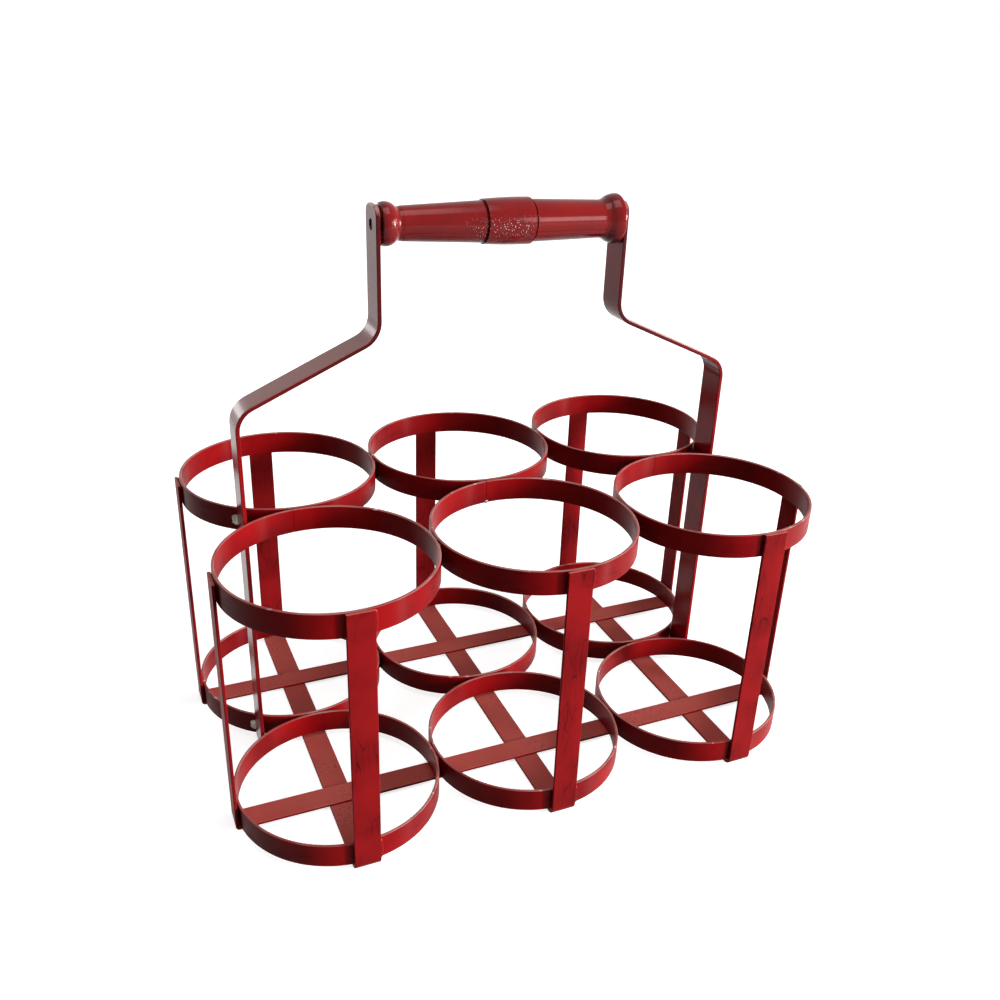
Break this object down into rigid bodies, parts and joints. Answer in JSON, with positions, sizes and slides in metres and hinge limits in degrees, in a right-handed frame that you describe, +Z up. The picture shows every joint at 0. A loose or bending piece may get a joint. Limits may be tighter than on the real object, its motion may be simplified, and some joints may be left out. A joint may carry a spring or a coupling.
{
  "type": "bottle caddy",
  "caption": "Open bottle carrier of welded flat steel hoops and bent straps, with an arched carrying handle and a turned grip that spins on its rod.",
  "frame": {"origin": "on the floor under the middle of the caddy, at the underside of the middle cross strap", "axes": "+X along the three columns of cells and the grip, +Y from the front row to the back row, +Z up"},
  "size_m": [0.3042, 0.2038, 0.2786],
  "materials": {
    "red_enamel": "glossy red enamel over hot rolled strip, with small chips and scuffs",
    "painted_wood": "turned hardwood in the same glossy red paint, worn at the middle band",
    "dark_steel": "dull dark steel rod"
  },
  "bodies": {
    "carrier_frame": {"base_hoop_front_left": "red_enamel", "top_hoop_front_left": "red_enamel", "base_hoop_front_middle": "red_enamel", "top_hoop_front_middle": "red_enamel", "base_hoop_front_right": "red_enamel", "top_hoop_front_right": "red_enamel", "base_hoop_back_left": "red_enamel", "top_hoop_back_left": "red_enamel", "base_hoop_back_middle": "red_enamel", "top_hoop_back_middle": "red_enamel", "base_hoop_back_right": "red_enamel", "top_hoop_back_right": "red_enamel", "cross_strap_left": "red_enamel", "cross_strap_middle": "red_enamel", "cross_strap_right": "red_enamel", "long_strap_front": "red_enamel", "long_strap_back": "red_enamel", "handle_arm_left": "red_enamel", "handle_arm_right": "red_enamel", "handle_rod": "dark_steel"},
    "grip": {"handle_grip": "painted_wood"}
  },
  "joints": [
    {"name": "grip_spin", "type": "hinge", "parent": "carrier_frame", "child": "grip", "pos_m": [0, 0, 0.2678], "axis": [0.9998, 0, -0.0194], "continuous": true}
  ]
}
